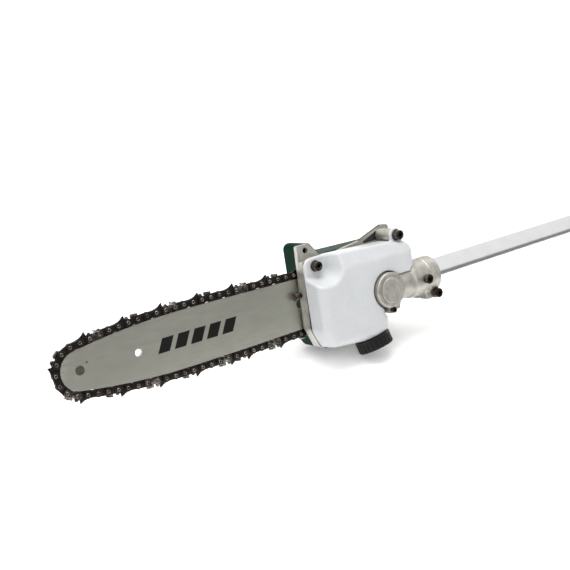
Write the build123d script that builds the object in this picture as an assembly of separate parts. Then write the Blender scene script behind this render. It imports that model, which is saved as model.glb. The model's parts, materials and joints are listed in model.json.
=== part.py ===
from build123d import *
import math
import os

# Telescoping pole saw: a saw head (guide bar, chain, oil tank, gear case) clamped to a
# two-part pole with a drive shaft inside.  The head is drawn in its own frame: origin at
# the nose sprocket's centre, +X along the bar towards the pole, +Z up in the bar's plane,
# +Y towards the green sprocket cover, -Y towards the oil tank.  The last step lays the
# whole saw down as it rests on a floor.  Millimetres.

# ---- how the saw lies on the floor ----
ROLL = -19.5          # leans over towards the sprocket cover
PITCH = 3.033

# ---- chain: 3/8 inch low profile ----
P = 9.525             # rivet to rivet
RIVET_COUNT = 80      # 40 drive links
FIRST_RIVET = 10.52   # arc from the nose apex to the first upper rivet
DRIVE_TEETH = 6
NOSE_TEETH = 7
DRIVE_LINK_T = 1.3
STRAP_T = 1.2
STRAP_R = 3.45        # half height of a tie strap
TANG = 5.6            # drive link tang, below the rivet line
RIVET_R = 1.3
CUTTERS_NEAR = (3, 7, 11, 15, 19, 24, 28, 31, 35, 39)
CUTTERS_FAR = (1, 5, 9, 13, 17, 22, 26, 30, 33, 37)

# ---- guide bar ----
BAR_T = 3.2
RAIL_INSET = 4.2      # rail below the rivet line
GROOVE_W = 1.9
GROOVE_DEPTH = 6.0
SLOT_W = 8.4
STUD_X = (252.0, 274.0)
STUD_R = 4.0
SLOT_FROM, SLOT_TO = 230.5, 282.0
PIN_X, PIN_Z = 250.0, 9.1      # hole for the tension pin
SCREW_Y = -6.2        # the tension screw's axis

# ---- the rivet line's arcs, upper half: nose, belly, back and tail ----
NOSE_R = P / math.sin(math.pi / NOSE_TEETH)
DRIVE_R = P / math.sin(math.pi / DRIVE_TEETH)
BELLY_X, BELLY_Z = 105.6, 30.67
BELLY_R = 667.0
BACK_R = 5500.0
BACK_END = 88.5       # direction of the line's normal where the tail begins
TAIL_R = 120.0

# ---- gear case and pole ----
GEAR_Z = -2.6         # height of the output shaft
POLE_Y = -27.5
POLE_RISE = 0.61      # degrees, pole against bar
SHAFT_R = 4.0
BEARING_R, BEARING_W = 11.0, 7.0
CASE_R = 17.6
COLLAR_END = 67.5
NECK_R = 16.5
COLLAR_R = 19.0
TUBE_R, TUBE_WALL = 14.0, 1.5
OUTER_R, OUTER_WALL = 16.5, 1.4
TUBE_START, TUBE_END = 36.0, 960.0
OUTER_START, OUTER_END = 425.0, 1030.0
HEX_R = 4.2           # hexagonal end of the drive shaft, corner radius
SLEEVE_R = 7.0        # drive sleeve that slides on it
BUTTON_S = OUTER_END - 48.0
SEAT = 36.0             # how much of the end the power head's clamp grips, up to a turned line

# ---- the pole's lever lock ----
LOCK_S, LOCK_LENGTH = 402.0, 48.0
LOCK_R = 22.0
BOLT_UP = 27.0        # clamp bolt above the pole's axis
LEVER_X = -16.0       # the lever's pin, sideways from the pole's axis

# ---- bevel gears ----
PINION_TEETH, GEAR_TEETH = 12, 15
BEVEL_MODULE = 1.5
BEVEL_INNER = 0.62    # inner cone distance over outer

# ---- plate, tank and cover ----
PLATE_NEAR, PLATE_FAR = -4.6, -9.0
PAD_Y = -2.0
RIM_Y = -15.5
TANK_BACK, TANK_FACE = -16.5, -41.5
TANK_WALL = 2.4
COVER_OUT, COVER_WALL = 26.0, 2.5
COVER_LOW = -49.41    # the cover's underside, one of the three places the saw rests on
EAR_X, EAR_Z = 245.4, 51.3         # hanging hole in the plate
REAR_X, REAR_Z = 342.0, 47.3       # tank screw on the web
FRONT_X, FRONT_Z = 246.5, 36.2     # tank screw in the corner pocket
PIPE_X, PIPE_Z = 285.0, -24.0
CAP_X, CAP_Y, CAP_Z = 297.0, -27.0, -46.6
CAP_LEAN_X, CAP_LEAN_Y = 0.17, -0.27   # the cap's axis against straight down
CAP_R, CAP_H = 18.2, 12.0
CAP_GAP = 0.6         # cap's mouth below the tank's shoulder
NECK_LENGTH = 8.4
SEAL_T = 2.0
NECK_OD_R, NECK_R_IN = 11.5, 9.0

NODES = {}


def keep(name, *shapes):
    """Remember the solids of one sub-part."""
    NODES[name] = [solid for shape in shapes for solid in shape.solids()]


# ---------------------------------------------------------------- small helpers

def slab(face, y_from, y_to):
    """An outline in the bar's XZ plane, made solid between two Y planes."""
    near, far = max(y_from, y_to), min(y_from, y_to)
    return extrude(Plane.XZ.offset(-near) * face, amount=near - far)


def disc(x, z, r, y_from, y_to):
    return slab(Pos(x, z) * Circle(r), y_from, y_to)


def ring(x, z, r_out, r_in, y_from, y_to):
    return slab(Pos(x, z) * (Circle(r_out) - Circle(r_in)), y_from, y_to)


def flat(*points):
    """A polygon, whichever way round its corners are given."""
    ahead = points[1:] + points[:1]
    area = sum(x0 * z1 - x1 * z0 for (x0, z0), (x1, z1) in zip(points, ahead))
    return Polygon(*(points if area > 0 else points[::-1]), align=None)


def outline(corners):
    """A closed outline from (x, z, corner radius)."""
    ahead = corners[1:] + corners[:1]
    area = sum(a[0] * b[1] - b[0] * a[1] for a, b in zip(corners, ahead))
    corners = corners if area > 0 else corners[::-1]
    points = [(x, z) for x, z, r in corners]
    radii = [r for x, z, r in corners]
    return make_face(FilletPolyline(*points, radius=radii, close=True).edges())


def pole_plane(gear_x):
    """The pole's frame: local x to +Y, local y up, local z along the pole."""
    rise = math.radians(POLE_RISE)
    return Plane(origin=(gear_x, POLE_Y, GEAR_Z), x_dir=(0, 1, 0),
                 z_dir=(math.cos(rise), 0, math.sin(rise)))


def bar_rod(x_from, x_to, y, z, r):
    """A round rod along the bar."""
    return extrude(Plane(origin=(x_from, y, z), z_dir=(1, 0, 0)) * Circle(r), amount=x_to - x_from)


def socket_screw(r_head, h_head, r_shank, length, socket):
    """A socket head cap screw: the head above z = 0, the shank below."""
    head = extrude(Circle(r_head), amount=h_head)
    head = chamfer(head.faces().sort_by(Axis.Z)[-1].edges(), 0.5)
    head -= Pos(0, 0, h_head - socket) * extrude(RegularPolygon(r_head * 0.52, 6), amount=socket + 1)
    return head + Pos(0, 0, -length) * extrude(Circle(r_shank), amount=length)


def towards_tank(x, z, y):
    """A place on the head whose local z points at the tank side."""
    return Plane(origin=(x, y, z), x_dir=(1, 0, 0), z_dir=(0, -1, 0))


# ---------------------------------------------------------------- the chain's path

def half_arcs(sprocket_x, sprocket_z):
    """Arcs (cx, cz, r, normal from, normal to) from the nose apex to the drive sprocket."""
    nose_end = math.degrees(math.atan2(BELLY_R - BELLY_Z, -BELLY_X))
    end = math.radians(BACK_END)
    back_z = BELLY_Z - BACK_R
    reach = BACK_R - TAIL_R
    tail_x = BELLY_X + reach * math.cos(end)
    tail_z = back_z + reach * math.sin(end)
    dx, dz = sprocket_x - tail_x, sprocket_z - tail_z
    leave = math.atan2(dz, dx) + math.acos((TAIL_R - DRIVE_R) / math.hypot(dx, dz))
    leave = math.degrees(leave)
    return [
        (0.0, 0.0, NOSE_R, 180.0, nose_end),
        (BELLY_X, BELLY_Z - BELLY_R, BELLY_R, nose_end, 90.0),
        (BELLY_X, back_z, BACK_R, 90.0, BACK_END),
        (tail_x, tail_z, TAIL_R, BACK_END, leave),
        (sprocket_x, sprocket_z, DRIVE_R, leave, 0.0),
    ]


def loop_segments(sprocket_x):
    """The closed rivet line as (length, point function) pieces, over the top first."""
    upper = half_arcs(sprocket_x, GEAR_Z)
    lower = [(x, -z, r, -b, -a) for x, z, r, a, b in reversed(half_arcs(sprocket_x, -GEAR_Z))]
    arcs = upper + lower
    pieces = []
    for number, (cx, cz, r, a, b) in enumerate(arcs):
        def on_arc(s, cx=cx, cz=cz, r=r, a=a):
            angle = math.radians(a) - s / r
            return cx + r * math.cos(angle), cz + r * math.sin(angle)
        length = r * math.radians(a - b)
        pieces.append((length, on_arc))
        if number + 1 == len(arcs):
            break
        x0, z0 = on_arc(length)
        nx, nz, nr, na, _ = arcs[number + 1]
        x1 = nx + nr * math.cos(math.radians(na))
        z1 = nz + nr * math.sin(math.radians(na))
        gap = math.hypot(x1 - x0, z1 - z0)
        if gap > 0.01:
            def on_line(s, x0=x0, z0=z0, ux=(x1 - x0) / gap, uz=(z1 - z0) / gap):
                return x0 + s * ux, z0 + s * uz
            pieces.append((gap, on_line))
    return pieces


def at(pieces, s):
    total = sum(length for length, _ in pieces)
    s = s % total
    for length, point in pieces:
        if s <= length:
            return point(s)
        s -= length
    return pieces[-1][1](pieces[-1][0])


def walk(sprocket_x):
    """Rivets one pitch apart along the line, and how far the last falls short."""
    pieces = loop_segments(sprocket_x)
    total = sum(length for length, _ in pieces)
    s = FIRST_RIVET
    rivets = [at(pieces, s)]
    for _ in range(RIVET_COUNT):
        x0, z0 = rivets[-1]
        step = P
        for _ in range(4):
            x1, z1 = at(pieces, s + step)
            step += P - math.hypot(x1 - x0, z1 - z0)
        s += step
        rivets.append(at(pieces, s))
    return rivets[:RIVET_COUNT], FIRST_RIVET + total - s


def close_loop():
    """The sprocket position that closes the chain exactly."""
    low, high = 305.0, 325.0
    for _ in range(40):
        middle = (low + high) / 2
        if walk(middle)[1] > 0:
            high = middle
        else:
            low = middle
    return middle


GEAR_X = close_loop()
RIVETS = walk(GEAR_X)[0]
POLE = pole_plane(GEAR_X)

# screws on the gear case, placed from the output shaft
LOCATE_X, LOCATE_Z = GEAR_X + 47.0, GEAR_Z + 0.5
CLAMP_X, CLAMP_Z = GEAR_X + 62.6, -20.4
SIDE_X, SIDE_Z = GEAR_X + 0.6, GEAR_Z - 20.3


def rod(face, s_from, s_to):
    """A section across the pole, made solid between two distances from the output shaft."""
    return extrude(POLE.offset(s_from) * face, amount=s_to - s_from)


def tube(r_out, r_in, s_from, s_to):
    return rod(Circle(r_out) - Circle(r_in), s_from, s_to)


# ---------------------------------------------------------------- guide bar and nose

def bar_face(inset):
    """The bar's outline, a distance inside the rivet line."""
    nose, belly, back, tail, _ = half_arcs(GEAR_X, 0.0)

    def on(arc, degrees):
        cx, cz, r, _, _ = arc
        angle = math.radians(degrees)
        return cx + (r - inset) * math.cos(angle), cz + (r - inset) * math.sin(angle)

    def half(side):
        apex = on(nose, 180.0)
        nose_end = on(nose, nose[4])
        top = on(belly, 90.0)
        back_end = on(back, BACK_END + 0.1)
        tail_corner = (287.0, 20.9 - inset)
        arcs = [
            (apex, on(nose, (180.0 + nose[4]) / 2), nose_end),
            (nose_end, on(belly, (nose[4] + 90.0) / 2), top),
            (top, on(back, (90.0 + BACK_END) / 2), back_end),
        ]
        edges = [ThreePointArc(*[(x, side * z) for x, z in arc]) for arc in arcs]
        edges.append(Line((back_end[0], side * back_end[1]), (tail_corner[0], side * tail_corner[1])))
        return edges, tail_corner

    upper, corner = half(1)
    lower, _ = half(-1)
    end = Line(corner, (corner[0], -corner[1]))
    return make_face([edge for part in (*upper, end, *lower) for edge in part.edges()])


def make_bar():
    bar = slab(bar_face(RAIL_INSET), -BAR_T / 2, BAR_T / 2)
    groove = bar_face(RAIL_INSET - 3) - bar_face(RAIL_INSET + GROOVE_DEPTH)
    bar -= slab(groove, -GROOVE_W / 2, GROOVE_W / 2)
    bar -= disc(0, 0, 15.8, -GROOVE_W / 2, GROOVE_W / 2)
    bar -= disc(0, 0, 4.15, -3, 3)
    bar -= disc(7.3, 5.4, 1.0, -3, 0)
    bar -= disc(56.3, 0, 3.4, -3, 3)
    slot = Pos((SLOT_FROM + SLOT_TO) / 2, 0) * SlotOverall(SLOT_TO - SLOT_FROM, SLOT_W)
    bar -= slab(slot, -3, 3)
    for side in (1, -1):
        bar -= disc(PIN_X, side * PIN_Z, 2.6, -3, 3)
    keep("guide_bar", bar)
    rivet = disc(0, 0, 4.15, -BAR_T / 2, BAR_T / 2)
    for side in (1, -1):
        rivet += disc(0, 0, 4.15, side * BAR_T / 2, side * (BAR_T / 2 + 0.25))
    keep("nose_rivet", rivet)


def star(teeth, r_tip, r_root, r_bore, half_width, y_mid=0.0, x=0.0, z=0.0):
    """A toothed wheel with blunt teeth."""
    wheel = ring(x, z, r_root, r_bore, y_mid - half_width, y_mid + half_width)
    for number in range(teeth):
        turn = Pos(x, z) * Rot(0, 0, 360 / teeth * (number + 0.5))
        tooth = turn * flat((r_root - 1, -2.6), (r_tip, -1.3), (r_tip, 1.3), (r_root - 1, 2.6))
        wheel += slab(tooth, y_mid - half_width, y_mid + half_width)
    return wheel


def make_nose_sprocket():
    keep("nose_sprocket", star(NOSE_TEETH, 15.2, 11.0, 4.22, 0.65))


# ---------------------------------------------------------------- chain

def link_place(number):
    """Local x from rivet to rivet, local z out of the loop."""
    x0, z0 = RIVETS[number]
    x1, z1 = RIVETS[(number + 1) % RIVET_COUNT]
    return Location((x0, 0, z0), (0, -math.degrees(math.atan2(z1 - z0, x1 - x0)), 0))


def stadium(r):
    return Pos(P / 2, 0) * SlotCenterToCenter(P, 2 * r)


def rivet_holes(face):
    return face - Circle(RIVET_R + 0.05) - Pos(P, 0) * Circle(RIVET_R + 0.05)


def side_plate(face, side):
    inner = DRIVE_LINK_T / 2 + 0.05
    return slab(rivet_holes(face), side * inner, side * (inner + STRAP_T))


def drive_link(ramp):
    tang = flat((P / 2 - 3.6, -1.5), (P / 2 - 2.8, -TANG), (P / 2 + 1.2, -TANG), (P / 2 + 3.6, -1.5))
    body = stadium(STRAP_R - 0.1) + tang
    if ramp:
        body += flat((-2.4, 2.2), (5.7, 6.1), (7.3, 2.2))
    return slab(rivet_holes(body), -DRIVE_LINK_T / 2, DRIVE_LINK_T / 2)


def cutter(side):
    """A chisel link: depth gauge over the leading rivet, top plate over the trailing one."""
    gauge = flat((-2.6, 1.5), (-1.6, 5.0), (0.8, 5.3), (2.4, 2.6))
    tooth = flat((4.6, 2.5), (5.3, 5.4), (11.0, 4.9), (11.4, 1.5))
    plate = side_plate(stadium(STRAP_R) + gauge + tooth, side)
    inner = DRIVE_LINK_T / 2 + 0.05
    out = inner + STRAP_T
    roof = flat((4.9, 5.9), (4.9, 4.9), (11.0, 4.3), (11.0, 5.2))
    return plate + slab(roof, side * -0.3, side * (out + 0.9))


def make_chain():
    straps, links, near, far, rivets = [], [], [], [], []
    tie = {side: side_plate(stadium(STRAP_R), side) for side in (1, -1)}
    cut = {side: cutter(side) for side in (1, -1)}
    plain, ramped = drive_link(False), drive_link(True)
    for number in range(RIVET_COUNT):
        place = link_place(number)
        pair = number // 2 + 1
        if number % 2:
            ahead_of = pair % (RIVET_COUNT // 2) + 1
            ramp = ahead_of in CUTTERS_NEAR + CUTTERS_FAR
            links.append(place * (ramped if ramp else plain))
            continue
        for side, list_of_cutters, made in ((-1, CUTTERS_NEAR, near), (1, CUTTERS_FAR, far)):
            if pair in list_of_cutters:
                made.append(place * cut[side])
            else:
                straps.append(place * tie[side])
    for x, z in RIVETS:
        pin_half = DRIVE_LINK_T / 2 + 0.05 + STRAP_T
        pin = disc(x, z, RIVET_R, -pin_half, pin_half)
        for side in (1, -1):
            pin += disc(x, z, 2.1, side * pin_half, side * (pin_half + 0.5))
        rivets.append(pin)
    keep("chain_drive_links", *links)
    keep("chain_tie_straps", *straps)
    keep("chain_cutters_near", *near)
    keep("chain_cutters_far", *far)
    keep("chain_rivets", *rivets)


# ---------------------------------------------------------------- plate

def plate_outline():
    return outline([
        (235.6, 57.0, 1.5), (232.8, -24.0, 4.0), (241.3, -44.0, 3.0), (247.0, -47.0, 2.0),
        (306.0, -47.0, 8.0), (334.0, -32.0, 8.0), (352.0, -8.0, 5.0), (353.5, 56.0, 3.0),
        (345.0, 57.3, 4.0), (312.0, 46.4, 10.0), (284.0, 42.6, 14.0), (262.0, 43.6, 8.0),
        (250.0, 57.0, 4.0),
    ])


def make_plate():
    whole = plate_outline()
    plate = slab(whole, PLATE_NEAR, PLATE_FAR)
    # a rim round the front and the underside stands back towards the tank
    rim_outside = outline([(235.2, 42.0, 1.5), (232.8, -24.0, 4.0), (241.3, -44.0, 3.0),
                           (247.0, -47.0, 2.0), (296.0, -47.0, 6.0), (296.0, 42.0, 3.0)])
    rim_inside = outline([(238.4, 39.0, 2.0), (236.2, -22.5, 3.0), (244.2, -41.0, 2.0),
                          (248.5, -43.6, 2.0), (292.6, -43.6, 4.0), (292.6, 39.0, 2.0)])
    plate += slab(rim_outside - rim_inside, PLATE_FAR, RIM_Y)
    pad = outline([(236.5, 17.0, 3.0), (236.5, -17.0, 3.0), (292.0, -17.0, 3.0), (292.0, 17.0, 3.0)])
    plate += slab(pad, PAD_Y, PLATE_NEAR)
    plate += Pos(251.0, -10.6, PIN_Z) * Box(27.0, 3.4, 14.0)
    # screw bosses for the tank, and the web's window
    plate += disc(REAR_X, REAR_Z, 6.5, PLATE_FAR, -28.4)
    plate += disc(FRONT_X, FRONT_Z, 5.5, PLATE_FAR, RIM_Y)
    plate -= disc(REAR_X, REAR_Z, 2.55, -20.0, -29.0)
    plate -= disc(FRONT_X, FRONT_Z, 2.55, -9.5, -16.0)
    window = outline([(317.0, 44.6, 0.6), (337.5, 52.6, 1.0), (337.5, 43.0, 1.0), (319.0, 43.0, 0.6)])
    plate -= slab(window - Pos(REAR_X, REAR_Z) * Circle(6.6), PLATE_NEAR - 1.2, -10)
    plate -= disc(EAR_X, EAR_Z, 3.0, -3, -10)
    for x in STUD_X:
        plate -= disc(x, 0, STUD_R, -1, -10)
    plate -= disc(GEAR_X, GEAR_Z, BEARING_R, -1, -10)
    # the tension screw's bore and the slot its pin block runs in
    plate -= bar_rod(225, 243, SCREW_Y, PIN_Z, 2.6)
    plate -= Pos(252.6, -5.5, PIN_Z) * Box(19.4, 7.6, 10.6)
    for x, z in case_screw_places():
        plate -= disc(x, z, 2.05, -1, -10)
    keep("bar_mount_plate", plate)

    gasket_out = outline([(235.8, 41.4, 1.5), (233.4, -23.8, 4.0), (242.0, -43.4, 3.0),
                          (247.2, -46.4, 2.0), (295.4, -46.4, 6.0), (295.4, 41.4, 3.0)])
    gasket = slab(gasket_out - rim_inside, RIM_Y, TANK_BACK)
    gasket += disc(FRONT_X, FRONT_Z, 5.5, RIM_Y, TANK_BACK)
    gasket -= disc(FRONT_X, FRONT_Z, 2.6, RIM_Y + 1, TANK_BACK - 1)
    keep("tank_gasket", gasket)


def case_screw_places():
    reach = CASE_R + 2.6
    angles = (55, 135, 215)
    return [(GEAR_X + reach * math.cos(math.radians(a)), GEAR_Z + reach * math.sin(math.radians(a)))
            for a in angles]


def make_plate_fasteners():
    studs = [disc(x, 0, STUD_R - 0.02, PLATE_FAR, COVER_OUT + 8.5) for x in STUD_X]
    keep("bar_studs", *studs)
    nuts = []
    for x in STUD_X:
        hexagon = Pos(x, 0) * RegularPolygon(7.5, 6)
        nut = slab(hexagon, COVER_OUT + 2, COVER_OUT + 8)
        nut += disc(x, 0, 9.0, COVER_OUT + 0.05, COVER_OUT + 2)
        nuts.append(nut - disc(x, 0, STUD_R, 0, 50))
    keep("bar_nuts", *nuts)
    screws = []
    for x, z in case_screw_places():
        screws.append(disc(x, z, 2.0, PLATE_NEAR - 0.2, -11.9))
    keep("case_screws", *screws)


def make_tensioner():
    screw = bar_rod(226.6, 230.6, SCREW_Y, PIN_Z, 4.2) + bar_rod(230.6, 260.0, SCREW_Y, PIN_Z, 2.5)
    slot = Plane(origin=(226.6, SCREW_Y, PIN_Z), z_dir=(1, 0, 0)) * Rectangle(1.2, 9)
    screw -= extrude(slot, amount=1.6)
    keep("tension_screw", screw)
    block = Pos(PIN_X - 1.0, -5.7, PIN_Z) * Box(8.0, 6.6, 9.6)
    block -= bar_rod(240, 260, SCREW_Y, PIN_Z, 2.57)
    block += disc(PIN_X, PIN_Z, 2.4, -2.31, 1.3)
    keep("tension_pin", block)


# ---------------------------------------------------------------- gear case and gears

def make_gear_case():
    case = disc(GEAR_X, GEAR_Z, CASE_R, PLATE_FAR, -45.6)
    flange = disc(GEAR_X, GEAR_Z, CASE_R + 6, PLATE_FAR, -12.6)
    case += flange - slab(Pos(272, 0) * Rectangle(48.8, 120), -5, -20)
    case += tube(NECK_R, 3, 8, 40) + tube(COLLAR_R - 0.6, 3, 34, 54) + tube(COLLAR_R, 3, 54, COLLAR_END)
    lugs = Pos(0, -15.0) * Rectangle(23, 16.5)
    case += rod(lugs, 50, 68.5)
    case += disc(SIDE_X, SIDE_Z, 4.0, -12.6, -42.0)
    tab = flat((SIDE_X + 3, -16), (SIDE_X + 3, -24.5), (SIDE_X + 10.5, -24.0), (SIDE_X + 13, -16))
    case += slab(tab, -36, -42)
    # inside: gear chamber, bearing seats, tube socket
    case -= disc(GEAR_X, GEAR_Z, 15.0, -12.3, -38.4)
    case -= disc(GEAR_X, GEAR_Z, BEARING_R, -5, -12.4)
    case -= disc(GEAR_X, GEAR_Z, BEARING_R, -38, -45.6)
    case -= disc(GEAR_X, GEAR_Z, 12.9, -45.5, -50)
    case -= rod(Circle(BEARING_R), 10, 31)
    case -= rod(Circle(9.0), 30, 37)
    case -= rod(Circle(TUBE_R + 0.01), TUBE_START - 0.2, 80)
    # the clamp's slit, its screw hole, and the locating screw's hole
    case -= rod(Pos(0, -22) * Rectangle(2.0, 20), 48, 80)
    case -= clamp_screw_hole()
    case -= disc(LOCATE_X, LOCATE_Z, 2.5, POLE_Y, -60)
    case -= disc(SIDE_X, SIDE_Z, 2.0, -30, -50)
    case -= disc(SIDE_X, SIDE_Z, 3.3, -42, -50)
    case -= disc(CLAMP_X, CLAMP_Z, 5.8, -39, -60)
    case -= disc(LOCATE_X, LOCATE_Z, 5.3, -46.5, -60)
    for x, z in case_screw_places():
        case -= disc(x, z, 2.0, -5, -12.0)
    keep("gear_case", case)
    cap = disc(GEAR_X, GEAR_Z, 12.8, -45.6, -47.0)
    keep("gear_case_cap", cap)


def clamp_screw_hole():
    return disc(CLAMP_X, CLAMP_Z, 2.5, -10, -50)


def make_case_screws():
    clamp = socket_screw(4.8, 5.4, 2.45, 23, 3.0)
    keep("clamp_screw", towards_tank(CLAMP_X, CLAMP_Z, -40.4).location * clamp)
    keep("clamp_washer", ring(CLAMP_X, CLAMP_Z, 5.4, 2.6, -39.0, -40.35))
    locating = socket_screw(4.8, 4.8, 2.45, 5.0, 2.8)
    keep("locating_screw", towards_tank(LOCATE_X, LOCATE_Z, -46.6).location * locating)
    side = socket_screw(3.0, 3.6, 1.95, 10.0, 1.8)
    keep("case_side_screw", towards_tank(SIDE_X, SIDE_Z, -42.05).location * side)


def bearing(place):
    """A ball bearing as an inner ring, an outer ring and balls, about the place's z."""
    outer = extrude(Circle(BEARING_R - 0.01) - Circle(9.0), amount=BEARING_W)
    inner = extrude(Circle(6.0) - Circle(SHAFT_R + 0.03), amount=BEARING_W)
    balls = [Rot(0, 0, a) * Pos(7.5, 0, BEARING_W / 2) * Sphere(1.45) for a in range(0, 360, 45)]
    return [place * piece for piece in (outer, inner, *balls)]


def make_bearings():
    output = bearing(towards_tank(GEAR_X, GEAR_Z, -5.2).location)
    output += bearing(towards_tank(GEAR_X, GEAR_Z, -38.5).location)
    keep("output_bearings", *output)
    keep("input_bearings", *bearing(POLE.offset(16.5).location), *bearing(POLE.offset(24.0).location))


def bevel(teeth, mate, first_turn, hub_length):
    """A straight bevel gear about local z, its apex at the origin and its body at +z."""
    pitch_angle = math.atan2(teeth, mate)
    cone = BEVEL_MODULE * teeth / 2 / math.sin(pitch_angle)
    depth, height = 0.75 * BEVEL_MODULE, 0.5 * BEVEL_MODULE
    root = pitch_angle - math.atan2(depth, cone)
    r_out, z_out = cone * math.sin(root), cone * math.cos(root)
    r_in, z_in = r_out * BEVEL_INNER, z_out * BEVEL_INNER
    blank = flat((0, z_in), (r_in, z_in), (r_out, z_out), (r_out, z_out + 1.2),
                 (SHAFT_R + 2.6, z_out + hub_length), (0, z_out + hub_length))
    gear = revolve(Plane.XZ * blank, Axis.Z)

    def section(scale):
        reach = cone * scale
        plane = Plane(origin=(reach * math.sin(pitch_angle), 0, reach * math.cos(pitch_angle)),
                      x_dir=(0, 1, 0), z_dir=(math.sin(pitch_angle), 0, math.cos(pitch_angle)))
        half = 0.30 * math.pi / 2 * BEVEL_MODULE * scale
        top, low = height * scale, (depth + 0.35) * scale
        lean = math.tan(math.radians(22))
        corners = [(-half - low * lean, -low), (half + low * lean, -low),
                   (half - top * lean, top), (-half + top * lean, top)]
        return plane * flat(*[(x, -y) for x, y in corners])

    tooth = loft([section(BEVEL_INNER), section(1.0)])
    for number in range(teeth):
        gear += Rot(0, 0, first_turn + 360 / teeth * number) * tooth
    return gear - extrude(Circle(SHAFT_R), amount=60)


def make_drive():
    """Pinion on the drive shaft, gear and sprocket on the output shaft."""
    pinion = bevel(PINION_TEETH, GEAR_TEETH, 0, 3.4)
    gear = bevel(GEAR_TEETH, PINION_TEETH, 180 / GEAR_TEETH, 3.6)
    keep("bevel_pinion", POLE.location * pinion)
    cross = Plane(origin=POLE.origin, x_dir=POLE.z_dir, z_dir=(0, 1, 0))
    keep("bevel_gear", cross.location * gear)

    shaft = rod(Circle(SHAFT_R - 0.01), 7.2, 480) + rod(RegularPolygon(HEX_R, 6), 479, TUBE_END - 8)
    keep("drive_shaft", shaft)
    output = disc(GEAR_X, GEAR_Z, SHAFT_R - 0.01, 9.5, -45.3)
    output -= ring(GEAR_X, GEAR_Z, 5, 3.2, 7.0, 8.0)
    keep("output_shaft", output)

    sprocket = ring(GEAR_X, GEAR_Z, 7.2, SHAFT_R, -4.2, 6.2)
    for side in (1, -1):
        # the chain's straps ride on these two flanges
        sprocket += ring(GEAR_X, GEAR_Z, 14.4, SHAFT_R, side * 0.95, side * 2.9)
    sprocket += star(DRIVE_TEETH, 12.0, 9.5, SHAFT_R, 1.0, x=GEAR_X, z=GEAR_Z)
    keep("drive_sprocket", sprocket)
    keep("sprocket_washer", ring(GEAR_X, GEAR_Z, 7.5, SHAFT_R, 6.25, 6.95))
    keep("sprocket_clip", ring(GEAR_X, GEAR_Z, 6.5, 3.25, 7.05, 7.95))


# ---------------------------------------------------------------- oil system

def cap_place():
    """The filler neck's mouth: local z points out of the tank."""
    down = Vector(CAP_LEAN_X, CAP_LEAN_Y, -1).normalized()
    return Plane(origin=(CAP_X, CAP_Y, CAP_Z), x_dir=down.cross(Vector(1, 0, 0)), z_dir=down)


def tank_face(inset):
    i = inset
    return outline([
        (233.8 + i, 44.5 - i, 9.0 - i / 2), (233.6 + i, -27.0, 12.0), (242.0 + i, -44.8 + i, 7.0),
        (280.0, -48.4 + i, 30.0), (314.0 - i, -47.0 + i, 14.0 - i), (314.0 - i, -29.5 - i / 2, 3.0),
        (310.8 - i, -25.0, 2.0), (310.8 - i, 3.9 + i, 0.5), (355.2 - i, 3.9 + i, 5.0),
        (357.0 - i, 38.6 - i, 12.0),
        (330.0, 42.9 - i, 30.0), (262.0, 45.4 - i, 20.0),
    ])


def make_tank():
    recess = disc(GEAR_X, GEAR_Z, CASE_R + 1.3, -10, -60) + disc(SIDE_X, SIDE_Z, 5.6, -10, -60)
    saddle = rod(Circle(NECK_R + 1.0), 0, 34) + rod(Circle(COLLAR_R + 0.7), 33, 90)
    outside = slab(tank_face(0), TANK_BACK, TANK_FACE)
    face_edges = outside.faces().sort_by(Axis.Y)[0].edges()
    outside = chamfer(face_edges, 3.0)
    lug_face = Pos(REAR_X, REAR_Z) * Circle(7.0) + Pos(REAR_X, 40.5) * Rectangle(14.0, 13.0)
    lug = slab(lug_face, -28.6, -32.5)
    inside = slab(tank_face(TANK_WALL), TANK_BACK - TANK_WALL, TANK_FACE + TANK_WALL)
    keep_out = disc(GEAR_X, GEAR_Z, CASE_R + 1.3 + TANK_WALL, 0, -60)
    keep_out += disc(SIDE_X, SIDE_Z, 5.6 + TANK_WALL, 0, -60)
    keep_out += rod(Circle(NECK_R + 1.0 + TANK_WALL), 0, 36)
    keep_out += rod(Circle(COLLAR_R + 0.7 + TANK_WALL), 30, 90)
    # the corner pocket for the front screw, and the flat the filler neck stands on
    pocket = outline([(225.0, 55.0, 1), (225.0, 24.0, 1), (258.0, 24.0, 9.0), (268.0, 55.0, 1)])
    pocket_wall = outline([(225.0, 55.0, 1), (225.0, 21.4, 1), (260.0, 21.4, 9.0), (270.5, 55.0, 1)])
    seat = cap_place().location
    shoulder = seat * Pos(0, 0, -10.0) * extrude(Circle(14.5), amount=10.0)
    under_cap = seat * extrude(Circle(CAP_R + 1.0), amount=30.0)
    over_cap = seat * Pos(0, 0, -TANK_WALL) * extrude(Circle(CAP_R + 1.0), amount=30.0)
    shoulder -= slab(Pos(290, 0) * Rectangle(200, 300), -5, -17.1)
    tank = outside - disc(REAR_X, REAR_Z, 7.3, -10, -28.5) - disc(REAR_X, REAR_Z, 7.3, -32.4, -50) + lug
    tank = tank - recess - saddle + shoulder - under_cap
    keep_out += slab(pocket_wall, -15, -60) + disc(REAR_X, REAR_Z, 9.0, 0, -60)
    tank -= inside - over_cap - keep_out
    tank -= slab(pocket, -19.4, -60)
    tank -= seat * Pos(0, 0, -16.0) * extrude(Circle(NECK_R_IN), amount=30)
    tank += seat * extrude(Circle(NECK_OD_R) - Circle(NECK_R_IN), amount=NECK_LENGTH)
    for x, z in ((REAR_X, REAR_Z), (FRONT_X, FRONT_Z)):
        tank -= disc(x, z, 2.6, -10, -60)
    tank -= disc(PIPE_X, PIPE_Z, 3.5, -10, -20)
    keep("oil_tank", max(tank.solids(), key=lambda solid: solid.volume))


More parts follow.
